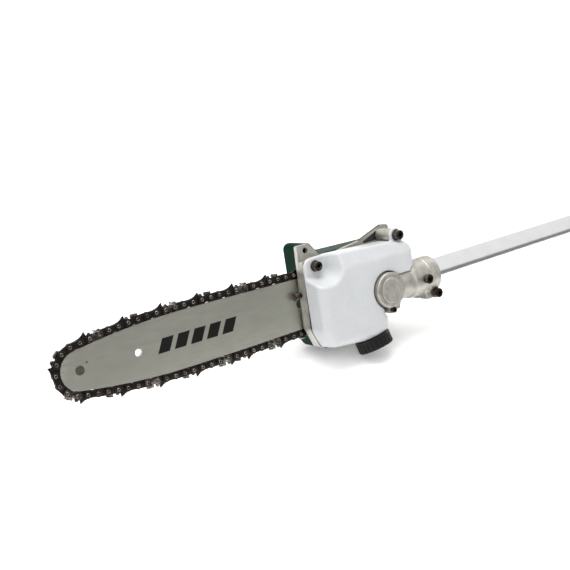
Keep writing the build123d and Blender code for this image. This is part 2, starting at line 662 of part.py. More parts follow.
def make_tank_fittings():
    screws = [towards_tank(REAR_X, REAR_Z, -33.8).location * socket_screw(4.9, 5.6, 2.45, 12, 3.0),
              towards_tank(FRONT_X, FRONT_Z, -20.7).location * socket_screw(4.6, 5.4, 2.45, 10, 3.0)]
    keep("tank_screws", *screws)
    washers = [ring(REAR_X, REAR_Z, 5.8, 2.6, -32.5, -33.75),
               ring(FRONT_X, FRONT_Z, 5.6, 2.6, -19.4, -20.65)]
    keep("tank_washers", *washers)

    grommet = ring(PIPE_X, PIPE_Z, 3.45, 2.55, -15.2, -20.2)
    grommet += ring(PIPE_X, PIPE_Z, 5.0, 2.55, -18.95, -20.2)
    keep("pipe_grommet", grommet)
    inlet, bend, foot = (PIPE_X, -14.0, PIPE_Z), (PIPE_X, -28.0, PIPE_Z), (PIPE_X, -28.0, -38.0)
    line = FilletPolyline(inlet, bend, foot, radius=6.0)
    start = Plane(origin=inlet, z_dir=(0, -1, 0))
    keep("oil_pickup_pipe", sweep(start * (Circle(2.5) - Circle(1.5)), path=line.edges()))
    below = Plane(origin=foot, z_dir=(0, 0, -1))
    strainer = extrude(below.offset(0.05) * Circle(4.2), amount=6.5)
    strainer -= extrude(below * Circle(1.5), amount=4)
    keep("oil_strainer", strainer)
    pump = Pos(PIPE_X - 3, -11.5, PIPE_Z) * Box(20, 4.8, 12) + disc(PIPE_X, PIPE_Z, 1.45, -13.9, -16.5)
    keep("oil_pump", pump)


def make_cap():
    place = cap_place().location
    cap = extrude(Circle(CAP_R), amount=CAP_H)
    cap = chamfer(cap.faces().sort_by(Axis.Z)[-1].edges(), 1.2)
    for number in range(24):
        turn = Rot(0, 0, 15 * number)
        cap -= turn * Pos(CAP_R + 0.55, 0, 2.0) * extrude(Circle(1.5), amount=CAP_H)
    cap -= extrude(Circle(NECK_OD_R + 0.35), amount=CAP_H - 2.0)
    cap -= Pos(0, 0, CAP_H - 1.0) * extrude(Circle(11.0), amount=4)
    cap += Pos(0, 0, CAP_H - 1.2) * extrude(Rectangle(20.0, 3.6), amount=1.2)
    keep("filler_cap", place * Pos(0, 0, CAP_GAP) * cap)
    seal = Pos(0, 0, NECK_LENGTH + 0.05) * extrude(Circle(NECK_OD_R) - Circle(8.6), amount=SEAL_T)
    keep("cap_seal", place * seal)


# ---------------------------------------------------------------- sprocket cover

def cover_face(inset):
    i = inset
    return outline([
        (242.3 + i, 57.6 - i, 6.5 - i), (242.0 + i, -34.0, 5.0), (251.0 + i, COVER_LOW + i, 8.0),
        (314.0 - i / 2, COVER_LOW + i, 14.0), (337.0 - i, -36.0, 12.0), (352.0 - i, -12.0, 10.0),
        (353.0 - i, 42.4 - i, 8.0), (264.5 - i / 2, 44.0 - i, 6.0), (254.0 - i, 56.8 - i, 4.5 - i),
    ])


def make_cover():
    rim = PLATE_NEAR + 0.3
    shell = slab(cover_face(0), COVER_OUT, rim)
    outer_edges = shell.faces().sort_by(Axis.Y)[-1].edges()
    shell = fillet(outer_edges, 3.5)
    shell -= slab(cover_face(COVER_WALL), COVER_OUT - COVER_WALL, rim - 5)
    # the chain and bar come out through the front wall
    shell -= Pos(243, 0, 0) * Box(12, 12, 74)
    for x in STUD_X:
        # hollow pillars the studs pass through
        shell += disc(x, 0, 8.0, 2.0, COVER_OUT - 0.5)
        shell -= disc(x, 0, STUD_R + 0.3, -5, COVER_OUT + 5)
    keep("sprocket_cover", shell)


# ---------------------------------------------------------------- pole

def make_pole():
    inner = tube(TUBE_R, TUBE_R - TUBE_WALL, TUBE_START, TUBE_END)
    inner -= disc(LOCATE_X, LOCATE_Z, 2.6, POLE_Y, -60)
    keep("inner_tube", inner)
    bushes = [tube(TUBE_R - TUBE_WALL, SHAFT_R + 0.06, s, s + 14) for s in (110, 260, 410)]
    keep("shaft_bushes", *bushes)

    outer = tube(OUTER_R, OUTER_R - OUTER_WALL, OUTER_START, OUTER_END)
    outer -= button_hole()
    outer -= tube(OUTER_R + 1, OUTER_R - 0.3, OUTER_END - SEAT - 1.5, OUTER_END - SEAT)
    keep("outer_tube", outer)
    gap = OUTER_R - OUTER_WALL
    slides = [tube(gap, TUBE_R + 0.05, s, s + 30) for s in (OUTER_START + 4, OUTER_START + 60)]
    keep("slide_bushes", *slides)
    sleeve = rod(Circle(SLEEVE_R) - RegularPolygon(HEX_R + 0.3, 6), 485, OUTER_END - 26)
    sleeve += rod(Circle(SLEEVE_R), OUTER_END - 26, OUTER_END - 4)
    sleeve += rod(RegularPolygon(4.0, 6), OUTER_END - 4, OUTER_END + 14)
    keep("drive_sleeve", sleeve)
    keep("sleeve_bush", tube(gap, SLEEVE_R + 0.06, OUTER_END - 24, OUTER_END - 8))


def button_frame():
    """On the pole's axis at the button: local z out through the top of the tube."""
    return Plane(origin=POLE.offset(BUTTON_S).origin, x_dir=POLE.z_dir, z_dir=POLE.y_dir)


def button_hole():
    return button_frame().location * extrude(Circle(3.6), amount=30)


def make_button():
    place = button_frame().location
    gap = OUTER_R - OUTER_WALL
    button = extrude(Circle(3.3), amount=OUTER_R + 3.0)
    button = chamfer(button.faces().sort_by(Axis.Z)[-1].edges(), 0.8)
    button -= extrude(Circle(5), amount=gap - 3.2)
    button += Pos(0, 0, gap - 3.2) * extrude(Circle(4.6), amount=1.4)
    keep("release_button", place * button)
    # a flat spring under the button, its two feet against the tube's wall
    low = gap - 7.7
    leaf = Pos(0, 0, low) * extrude(Rectangle(26, 6), amount=0.6)
    for end in (11.5, -11.5):
        leaf += Pos(end, 0, low) * extrude(Rectangle(3, 6), amount=7.2)
    keep("button_spring", place * leaf)


# ---------------------------------------------------------------- pole lock

def make_lock():
    s_from, s_to = LOCK_S, LOCK_S + LOCK_LENGTH
    collar = rod(Circle(LOCK_R), s_from, s_to)
    ears = Pos(0, 22.5) * Rectangle(18.0, 21.0)
    collar += rod(ears, s_from + 12, s_to - 12)
    # the outer tube is held in the collar's rear part, and the inner one runs through
    collar -= rod(Circle(TUBE_R + 0.3), s_from - 1, OUTER_START)
    collar -= rod(Circle(OUTER_R), OUTER_START, s_to + 1)
    collar -= rod(Pos(0, 24) * Rectangle(2.0, 30), s_from - 1, s_to + 1)
    collar -= bolt_run(-20, 20, 2.6)
    keep("lock_collar", collar)
    bolt = bolt_run(-12.0, 9.1, 2.5) + bolt_run(9.05, 12.6, 4.5)
    middle = (s_from + s_to) / 2
    hinge = Pos(LEVER_X, BOLT_UP)
    eye = rod(hinge * (Circle(4.4) - Circle(2.0)), middle - 3.2, middle + 3.2)
    keep("lock_bolt", bolt + eye)
    keep("lever_pin", rod(hinge * Circle(1.98), middle - 9.5, middle + 9.5))
    head = hinge * Circle(6.5)
    arm_out, arm_in = LOCK_R + 4.6, LOCK_R + 1.2
    sector = flat((0, 0), (-60, 52), (-70, 0), (-40, -50))
    arm = (Circle(arm_out) - Circle(arm_in)) & sector
    lever = rod(head + arm, middle - 9, middle + 9)
    lever -= rod(hinge * Circle(2.04), middle - 20, middle + 20)
    lever -= rod(Pos(LEVER_X + 2.4, BOLT_UP) * Rectangle(14.6, 14), middle - 3.6, middle + 3.6)
    keep("lock_lever", max(lever.solids(), key=lambda solid: solid.volume))


def bolt_run(x_from, x_to, r):
    """A rod across the pole at the clamp bolt's height."""
    middle = LOCK_S + LOCK_LENGTH / 2
    plane = POLE.offset(middle)
    start = plane.origin + plane.x_dir * x_from + plane.y_dir * BOLT_UP
    return extrude(Plane(origin=start, z_dir=plane.x_dir) * Circle(r), amount=x_to - x_from)


# ---------------------------------------------------------------- assembly

def build():
    make_bar()
    make_nose_sprocket()
    make_chain()
    make_plate()
    make_plate_fasteners()
    make_tensioner()
    make_gear_case()
    make_case_screws()
    make_bearings()
    make_drive()
    make_tank()
    make_tank_fittings()
    make_cap()
    make_cover()
    make_pole()
    make_button()
    make_lock()


def lay_down():
    """The turn and shift that lay the saw on the floor, bottom centre at the origin."""
    turn = Rot(0, PITCH, 0) * Rot(ROLL, 0, 0)
    turned = [turn * solid for solids in NODES.values() for solid in solids]
    everything = Compound(children=turned)
    box = everything.bounding_box()
    middle = box.center()
    return Pos(-middle.X, -middle.Y, -box.min.Z) * turn


if __name__ == "__main__":
    build()
    place = lay_down()
    os.makedirs("parts", exist_ok=True)
    for name, solids in NODES.items():
        placed = [place * solid for solid in solids]
        shape = placed[0] if len(placed) == 1 else Compound(children=placed)
        export_step(shape, f"parts/{name}.step")
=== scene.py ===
import json
import math

import bmesh
import bpy
import numpy as np
from mathutils import Matrix, Vector


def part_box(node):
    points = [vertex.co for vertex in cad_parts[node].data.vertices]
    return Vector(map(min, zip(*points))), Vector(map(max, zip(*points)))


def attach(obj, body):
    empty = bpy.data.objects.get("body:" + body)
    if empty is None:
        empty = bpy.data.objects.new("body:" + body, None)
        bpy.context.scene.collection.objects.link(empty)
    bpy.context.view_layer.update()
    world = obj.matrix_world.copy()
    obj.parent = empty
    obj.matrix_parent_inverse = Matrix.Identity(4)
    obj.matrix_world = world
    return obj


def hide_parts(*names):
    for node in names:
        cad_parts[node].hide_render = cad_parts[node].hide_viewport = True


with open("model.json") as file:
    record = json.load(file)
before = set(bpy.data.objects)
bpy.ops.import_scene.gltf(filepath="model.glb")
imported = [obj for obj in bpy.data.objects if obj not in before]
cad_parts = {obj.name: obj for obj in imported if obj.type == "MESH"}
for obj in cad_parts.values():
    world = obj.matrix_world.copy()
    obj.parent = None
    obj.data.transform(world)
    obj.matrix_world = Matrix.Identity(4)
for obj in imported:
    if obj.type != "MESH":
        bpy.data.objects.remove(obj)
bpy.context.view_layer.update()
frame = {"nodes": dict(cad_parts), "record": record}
nodes = frame["nodes"]
body_of = {node: body for body, names in frame["record"]["behaviour"]["bodies"].items() for node in names}
slot_of = {row["node"]: row["material_slot"] for row in frame["record"]["subparts"]}


def centre_of(node):
    low, high = (Vector(corner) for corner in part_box(node))
    return (low + high) / 2


# The saw's own frame, in millimetres: origin at the nose sprocket, +X along the bar towards
# the pole, +Y towards the green cover, +Z up in the bar's plane.  It is laid down on the floor
# by a pitch and a roll.
TIP, ROLL = math.radians(3.033), math.radians(-19.5)
TURN = Matrix.Rotation(TIP, 4, "Y") @ Matrix.Rotation(ROLL, 4, "X")
SAW = Matrix.Translation(centre_of("nose_rivet")) @ TURN @ Matrix.Scale(0.001, 4)
GEAR_X, GEAR_Z = 315.82, -2.6
POLE_Y = -27.5
RISE = math.radians(0.61)
TUBE_R, TUBE_START, TUBE_END = 14.0, 36.0, 960.0

# ---------------------------------------------------------------- materials


class Nodes:
    """A short way to write a node tree."""

    def __init__(self, tree):
        self.tree = tree

    def add(self, kind, **sockets):
        node = self.tree.nodes.new(kind)
        for name, value in sockets.items():
            if name.startswith("_"):
                setattr(node, name[1:], value)
                continue
            key = int(name[1:]) if name[0] == "i" and name[1:].isdigit() else name.replace("_", " ")
            socket = node.inputs[key]
            if isinstance(value, bpy.types.NodeSocket):
                self.tree.links.new(value, socket)
            else:
                socket.default_value = value
        return node

    def math(self, operation, a, b=0.0):
        return self.add("ShaderNodeMath", _operation=operation, i0=a, i1=b).outputs[0]

    def mix(self, factor, a, b):
        node = self.add("ShaderNodeMix", _data_type="RGBA")
        for key, value in ((0, factor), (6, a), (7, b)):
            if isinstance(value, bpy.types.NodeSocket):
                self.tree.links.new(value, node.inputs[key])
            else:
                node.inputs[key].default_value = value if key == 0 else (*value[:3], 1.0)
        return node.outputs[2]

    def ramp(self, value, low, high, out_low=0.0, out_high=1.0):
        node = self.add("ShaderNodeMapRange", i0=value, i1=low, i2=high, i3=out_low, i4=out_high)
        return node.outputs[0]

    def noise(self, place, scale, detail):
        return self.add("ShaderNodeTexNoise", Vector=place, Scale=scale, Detail=detail, Roughness=0.55).outputs[0]


def rgb(r, g, b):
    """An sRGB colour in 0..255 as linear values."""
    def linear(v):
        v /= 255.0
        return v / 12.92 if v <= 0.04045 else ((v + 0.055) / 1.055) ** 2.4
    return (linear(r), linear(g), linear(b), 1.0)


def printed_bars(n, place):
    """Slanted bars printed on the near face of the guide bar, in the saw's frame, as a mask."""
    first, pitch, wide, count, half_height = 78.0, 17.0, 12.0, 5, 6.5
    local = n.add("ShaderNodeMapping", _vector_type="TEXTURE", Vector=place, Location=centre_of("nose_rivet"),
                  Rotation=(ROLL, TIP, 0.0), Scale=(0.001, 0.001, 0.001)).outputs[0]
    split = n.add("ShaderNodeSeparateXYZ", Vector=local)
    x, z = split.outputs[0], split.outputs[2]
    slant = n.math("SUBTRACT", x, n.math("MULTIPLY", z, 0.5))
    cell = n.math("MODULO", n.math("SUBTRACT", slant, first), pitch)
    inside = n.math("MULTIPLY", n.math("LESS_THAN", cell, wide), n.math("GREATER_THAN", slant, first))
    inside = n.math("MULTIPLY", inside, n.math("LESS_THAN", slant, first + pitch * count))
    inside = n.math("MULTIPLY", inside, n.math("LESS_THAN", n.math("ABSOLUTE", z), half_height))
    return n.math("MULTIPLY", inside, n.math("LESS_THAN", split.outputs[1], 0.0))


def material(name, base, second=None, rough=(0.3, 0.4), metallic=0.0, grain=900.0, blotch=60.0,
             bump=0.1, depth=0.0002, stretch=None, wear_and_glint=0.0, wear_and_glint_colour=None, corner_shade=0.0, print_on=False,
             **constants):
    """A surface with fine grain, broad blotches, convex edges lightened as wear and as a painted highlight, and
    painted shade darkening the concave corners.
    """
    made = bpy.data.materials.new(name)
    made.use_nodes = True
    tree = made.node_tree
    tree.nodes.clear()
    n = Nodes(tree)
    shader = n.add("ShaderNodeBsdfPrincipled", Metallic=metallic)
    n.add("ShaderNodeOutputMaterial", Surface=shader.outputs[0])
    place = n.add("ShaderNodeTexCoord").outputs["Object"]
    turn = n.add("ShaderNodeMapping", _vector_type="TEXTURE", Vector=place,
                 Rotation=(ROLL, TIP, 0.0),
                 Scale=stretch or (1, 1, 1)).outputs[0]
    fine = n.noise(turn, grain, 4.0)
    broad = n.noise(place, blotch, 3.0)
    colour = n.mix(n.ramp(broad, 0.35, 0.65), base, second or base)
    roughness = n.ramp(fine, 0.3, 0.7, rough[0], rough[1])
    if wear_and_glint or corner_shade:
        pointy = n.add("ShaderNodeNewGeometry").outputs["Pointiness"]
        # painted shade: concave corners, sockets and creases darkened towards a third of the base colour
        if corner_shade:
            low = n.ramp(pointy, 0.40, 0.50, corner_shade, 0.0)
            colour = n.mix(low, colour, tuple(c * 0.35 for c in base[:3]))
        # convex edges lightened: partly real wear, partly a painted highlight along the rims
        if wear_and_glint:
            high = n.math("MULTIPLY", n.ramp(pointy, 0.52, 0.60, 0.0, wear_and_glint), n.ramp(fine, 0.35, 0.6))
            colour = n.mix(high, colour, wear_and_glint_colour or tuple(min(1.0, c * 1.8) for c in base[:3]))
    if print_on:
        colour = n.mix(n.math("MULTIPLY", printed_bars(n, place), 0.96), colour, rgb(20, 19, 18))
    n.tree.links.new(colour, shader.inputs["Base Color"])
    n.tree.links.new(roughness, shader.inputs["Roughness"])
    if bump:
        height = n.add("ShaderNodeBump", Strength=bump, Distance=depth, Height=fine).outputs[0]
        n.tree.links.new(height, shader.inputs["Normal"])
    for key, value in constants.items():
        shader.inputs[key.replace("_", " ")].default_value = value
    return made


# Below, the lightened convex edges are partly wear and partly a painted highlight, and the darkened concave corners
# are painted shade.
CAST = material("cast_aluminium_skin", rgb(198, 195, 187), rgb(172, 169, 161), rough=(0.44, 0.60), metallic=0.85,
                grain=1400, blotch=160.0, bump=0.45, depth=0.0003, wear_and_glint=0.6, wear_and_glint_colour=rgb(232, 231, 227), corner_shade=0.5)
TUBE = material("polished_tube", rgb(250, 250, 250), rgb(244, 245, 245), rough=(0.18, 0.24), metallic=1.0,
                grain=500, bump=0.02, depth=0.0001, stretch=(30, 1, 1))
ANODISED = material("anodised_tube", rgb(150, 152, 155), rgb(142, 144, 147), rough=(0.28, 0.36), metallic=1.0,
                    grain=600, bump=0.04, depth=0.0001, stretch=(20, 1, 1))
BAR = material("bar_steel", rgb(178, 178, 167), rgb(174, 174, 164), rough=(0.38, 0.44), metallic=0.9,
               grain=700, bump=0.03, depth=0.0001, stretch=(12, 1, 1), wear_and_glint=0.3, print_on=True)
TIE = material("blued_links", rgb(30, 24, 22), rgb(17, 14, 13), rough=(0.30, 0.45), metallic=0.7,
               grain=900, bump=0.12, wear_and_glint=0.6, wear_and_glint_colour=rgb(120, 105, 94))
RIVET = material("rivet_steel", rgb(150, 145, 138), rgb(74, 69, 64), rough=(0.2, 0.35), metallic=1.0,
                 grain=1500, blotch=300.0, bump=0.1, corner_shade=1.0)
CHROME = material("hard_chrome", rgb(128, 120, 113), rgb(44, 39, 36), rough=(0.14, 0.3), metallic=1.0,
                  grain=800, blotch=260.0, bump=0.08, wear_and_glint=0.5, wear_and_glint_colour=rgb(215, 208, 200), corner_shade=0.9)
# a dark grey copy of the cast colour for the sunk window's floor: partly dirt, partly painted shade
SHADED_HOLLOW = material("shaded_dirty_hollow", rgb(104, 102, 98), rgb(80, 78, 75), rough=(0.5, 0.65), metallic=0.6,
                  grain=1400, bump=0.45, depth=0.0003)
BRIGHT = material("bright_chrome", rgb(222, 220, 216), rgb(190, 187, 182), rough=(0.12, 0.24), metallic=1.0,
                  grain=800, blotch=260.0, bump=0.05)
NOSE = material("worn_rivet_head", rgb(112, 106, 92), rgb(92, 87, 76), rough=(0.35, 0.5), metallic=0.8,
                grain=1200, blotch=400.0, bump=0.15, corner_shade=0.8)
STEEL = material("machined_steel", rgb(176, 174, 170), rgb(150, 148, 144), rough=(0.22, 0.34), metallic=1.0,
                 grain=900, bump=0.08, corner_shade=0.4)
BLACK_OXIDE = material("black_oxide", rgb(46, 38, 34), rgb(28, 23, 21), rough=(0.16, 0.30), metallic=0.9,
                       grain=1100, bump=0.12, wear_and_glint=1.0, wear_and_glint_colour=rgb(205, 190, 178), corner_shade=0.7)
TANK = material("milky_tank", rgb(198, 200, 201), rgb(194, 196, 198), rough=(0.22, 0.30), grain=1100, bump=0.05,
                depth=0.0001, Subsurface_Weight=0.15, Subsurface_Scale=0.004, IOR=1.45)
COVER = material("green_cover", rgb(0, 42, 25), rgb(0, 36, 21), rough=(0.38, 0.48), grain=1300, bump=0.06,
                 depth=0.0001, IOR=1.12)
BLACK = material("black_plastic", rgb(17, 17, 17), rgb(13, 13, 13), rough=(0.38, 0.5), grain=1300, bump=0.12,
                 wear_and_glint=0.3, Specular_IOR_Level=0.3)
RUBBER = material("black_rubber", rgb(30, 30, 30), rgb(24, 24, 24), rough=(0.6, 0.75), grain=1500, bump=0.2)
NYLON = material("nylon", rgb(214, 211, 200), rgb(206, 203, 192), rough=(0.4, 0.5), grain=1200, bump=0.1,
                 Subsurface_Weight=0.1, Subsurface_Scale=0.002)

LOOK = {
    "cast_aluminium": CAST, "bright_tube": TUBE, "outer_tube_anodised": ANODISED, "bar_steel": BAR,
    "chain_dark": TIE, "chain_bright": RIVET, "cutter_chrome": CHROME, "steel": STEEL,
    "black_screws": BLACK_OXIDE, "tank_plastic": TANK, "cover_green": COVER, "black_plastic": BLACK,
    "rubber": RUBBER, "bush_plastic": NYLON,
}

# ---------------------------------------------------------------- pieces


def settle(piece, node, angle=35.0):
    """Smooth shading broken at sharp edges, the node's body and finish, and the CAD node hidden."""
    mesh = piece.data
    for polygon in mesh.polygons:
        polygon.use_smooth = True
    mesh.set_sharp_from_angle(angle=math.radians(angle))
    mesh.materials.clear()
    mesh.materials.append(LOOK[slot_of[node]])
    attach(piece, body_of[node])
    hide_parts(node)


def bake_modifiers(piece):
    graph = bpy.context.evaluated_depsgraph_get()
    done = bpy.data.meshes.new_from_object(piece.evaluated_get(graph))
    piece.modifiers.clear()
    piece.data = done


def band(bm, a, b):
    """The faces between two rings with as many points."""
    for i in range(len(a)):
        j = (i + 1) % len(a)
        bm.faces.new((a[i], a[j], b[j], b[i]))


def new_piece(name, mesh):
    piece = bpy.data.objects.new(name, mesh)
    bpy.context.scene.collection.objects.link(piece)
    return piece


def eased(node):
    """A copy of a CAD piece with its edges broken, as cast, moulded and turned edges are."""
    mesh = nodes[node].data.copy()
    bm = bmesh.new()
    bm.from_mesh(mesh)
    bmesh.ops.remove_doubles(bm, verts=bm.verts, dist=2e-6)
    bmesh.ops.dissolve_limit(bm, angle_limit=math.radians(0.6), verts=bm.verts, edges=bm.edges)
    bm.to_mesh(mesh)
    bm.free()
    piece = new_piece(node + "_eased", mesh)
    edge = piece.modifiers.new("edge", "BEVEL")
    edge.width = 0.0004
    edge.segments = 2
    edge.limit_method = "ANGLE"
    edge.angle_limit = math.radians(32.0)
    edge.use_clamp_overlap = True
    bake_modifiers(piece)
    settle(piece, node)
    shade = piece.modifiers.new("shade", "WEIGHTED_NORMAL")
    shade.keep_sharp = True
    shade.weight = 90
    bake_modifiers(piece)
    return piece


for node, thing in nodes.items():
    thing.data.materials.clear()
    thing.data.materials.append(NOSE if node == "nose_rivet" else LOOK[slot_of[node]])

# ---------------------------------------------------------------- moulded and cast shapes
# Distances in the saw's frame, negative inside.  Joins and edges are rounded as a mould rounds them.


def both(a, b, r=0.0):
    """Where a and b overlap, the edge between them rounded."""
    if r <= 0:
        return np.maximum(a, b)
    reach = np.sqrt(np.maximum(a + r, 0) ** 2 + np.maximum(b + r, 0) ** 2)
    return np.minimum(np.maximum(a, b), -r) + reach


def either(a, b, r=0.0):
    return -both(-a, -b, r)


def less(a, b, r=0.0):
    return both(a, -b, r)


def between(v, low, high):
    return np.maximum(low - v, v - high)


def tube_field(u, v, radius):
    return np.hypot(u, v) - radius


def rounded(corners, steps=7):
    """The points of a closed outline given as (x, z, corner radius)."""
    points = []
    count = len(corners)
    for number, (x, z, r) in enumerate(corners):
        here = np.array((x, z), float)
        before = np.array(corners[number - 1][:2]) - here
        after = np.array(corners[(number + 1) % count][:2]) - here
        before /= np.linalg.norm(before)
        after /= np.linalg.norm(after)
        half = math.acos(max(-1.0, min(1.0, float(before @ after)))) / 2
        if r <= 0.01 or half > 1.56:
            points.append(here)
            continue
        middle = here + (before + after) / np.linalg.norm(before + after) * r / math.sin(half)
        start, end = here + before * r / math.tan(half) - middle, here + after * r / math.tan(half) - middle
        sweep = math.acos(max(-1.0, min(1.0, float(start @ end) / (r * r))))
        for step in range(steps + 1):
            t = step / steps
            mixed = (math.sin((1 - t) * sweep) * start + math.sin(t * sweep) * end) / math.sin(sweep)
            points.append(middle + mixed)
    return np.array(points)


def outline_field(x, z, corners):
    points = rounded(corners)
    shape = np.broadcast_shapes(np.shape(x), np.shape(z))
    best = np.full(shape, 1e9)
    inside = np.zeros(shape, bool)
    for (x0, z0), (x1, z1) in zip(points, np.roll(points, -1, axis=0)):
        ex, ez = x1 - x0, z1 - z0
        wx, wz = x - x0, z - z0
        t = np.clip((wx * ex + wz * ez) / (ex * ex + ez * ez + 1e-12), 0, 1)
        best = np.minimum(best, (wx - ex * t) ** 2 + (wz - ez * t) ** 2)
        crosses = (z0 > z) != (z1 > z)
        inside ^= crosses & (x < x0 + ex * (z - z0) / (ez if ez else 1e-12))
    return np.where(inside, -1.0, 1.0) * np.sqrt(best)


def skin(field, low, high, step):
    """The zero surface of a field as a mesh: one point a cell, then drawn onto the surface."""
    axes_at = [np.arange(a, b + step, step) for a, b in zip(low, high)]
    grid = np.meshgrid(*axes_at, indexing="ij", sparse=True)
    values = field(*grid).astype(np.float32)
    shape = tuple(n - 1 for n in values.shape)
    total = np.zeros((3, *shape), np.float32)
    hits = np.zeros(shape, np.float32)
    corner = [(i, j, k) for i in (0, 1) for j in (0, 1) for k in (0, 1)]
    for a in corner:
        for axis in range(3):
            if a[axis]:
                continue
            b = tuple(1 if d == axis else a[d] for d in range(3))
            va = values[tuple(slice(a[d], a[d] + shape[d]) for d in range(3))]
            vb = values[tuple(slice(b[d], b[d] + shape[d]) for d in range(3))]
            cross = (va < 0) != (vb < 0)
            t = np.where(cross, va / np.where(va == vb, 1, va - vb), 0)
            for d in range(3):
                total[d] += np.where(cross, a[d] + (t if d == axis else 0), 0)
            hits += cross
    used = hits > 0
    number = np.full(shape, -1)
    number[used] = np.arange(used.sum())
    where = np.argwhere(used)
    points = np.stack([total[d][used] / hits[used] for d in range(3)], 1) + where
    points = points * step + np.array(low)
    quads = []
    for axis in range(3):
        u, v = (axis + 1) % 3, (axis + 2) % 3
        near = [slice(None)] * 3
        far = [slice(None)] * 3
        near[axis], far[axis] = slice(0, -1), slice(1, None)
        for d in (u, v):
            near[d] = far[d] = slice(1, -1)
        a_in, b_in = values[tuple(near)] < 0, values[tuple(far)] < 0
        for cross, turn in ((a_in & ~b_in, 1), (~a_in & b_in, -1)):
            at = np.argwhere(cross)
            ring_of = []
            for du, dv in ((0, 0), (1, 0), (1, 1), (0, 1))[::turn]:
                cell = at.copy()
                cell[:, u] += du
                cell[:, v] += dv
                ring_of.append(number[cell[:, 0], cell[:, 1], cell[:, 2]])
            quads.append(np.stack(ring_of, 1))
    quads = np.concatenate(quads)
    quads = quads[(quads >= 0).all(1)]
    reach = step * 0.25
    for _ in range(2):
        here = field(*points.T)
        slope = np.stack([field(*(points + reach * np.eye(3)[d]).T) - here for d in range(3)], 1) / reach
        length = np.maximum((slope ** 2).sum(1), 0.25)
        points = points - slope * np.clip(here / length, -step, step)[:, None]
    return points, quads


def moulded(name, node, field, low, high, step, smooth):
    """A piece from a field, resting where its CAD node is."""
    points, quads = skin(field, low, high, step)
    mesh = bpy.data.meshes.new(name)
    mesh.from_pydata(points.tolist(), [], quads.tolist())
    mesh.transform(SAW)
    piece = new_piece(name, mesh)
    if smooth:
        soften = piece.modifiers.new("soften", "SMOOTH")
        soften.factor = 0.4
        soften.iterations = smooth
        bake_modifiers(piece)
    settle(piece, node, 40.0)


def turned(name, node, profile, sides=128):
    """A piece turned about the pole's axis, from a closed profile of (distance along, radius)."""
    bm = bmesh.new()
    rings = []
    for s, radius in profile:
        ring = []
        for i in range(sides):
            side = radius * math.cos(2 * math.pi * i / sides)
            up = radius * math.sin(2 * math.pi * i / sides)
            x = GEAR_X + s * math.cos(RISE) - up * math.sin(RISE)
            z = GEAR_Z + s * math.sin(RISE) + up * math.cos(RISE)
            ring.append(bm.verts.new(SAW @ Vector((x, POLE_Y + side, z))))
        rings.append(ring)
    for a, b in zip(rings, rings[1:] + rings[:1]):
        band(bm, a, b)
    bmesh.ops.recalc_face_normals(bm, faces=bm.faces)
    mesh = bpy.data.meshes.new(name)
    bm.to_mesh(mesh)
    bm.free()
    settle(new_piece(name, mesh), node)


def along_pole(x, y, z):
    """Sideways, upwards and distance along the pole, from the output shaft."""
    dx, dz = x - GEAR_X, z - GEAR_Z
    return y - POLE_Y, dz * math.cos(RISE) - dx * math.sin(RISE), dx * math.cos(RISE) + dz * math.sin(RISE)


CAP_AT = np.array((297.0, -27.0, -46.6))
CAP_DOWN = np.array((0.17, -0.27, -1.0)) / math.sqrt(0.17 ** 2 + 0.27 ** 2 + 1)


def from_neck(x, y, z):
    """Distance out of the filler neck along its axis, and away from that axis."""
    dx, dy, dz = x - CAP_AT[0], y - CAP_AT[1], z - CAP_AT[2]
    out = dx * CAP_DOWN[0] + dy * CAP_DOWN[1] + dz * CAP_DOWN[2]
    return out, np.sqrt(np.maximum(dx * dx + dy * dy + dz * dz - out * out, 0))


TANK_BACK, TANK_FACE, TANK_WALL = -16.5, -41.5, 2.4
LUG_X, LUG_Z = 342.0, 47.3
STEP_Z, LEAN = 31.0, 0.36
DRUM_R, SOCKET_R = 17.6, 14.02


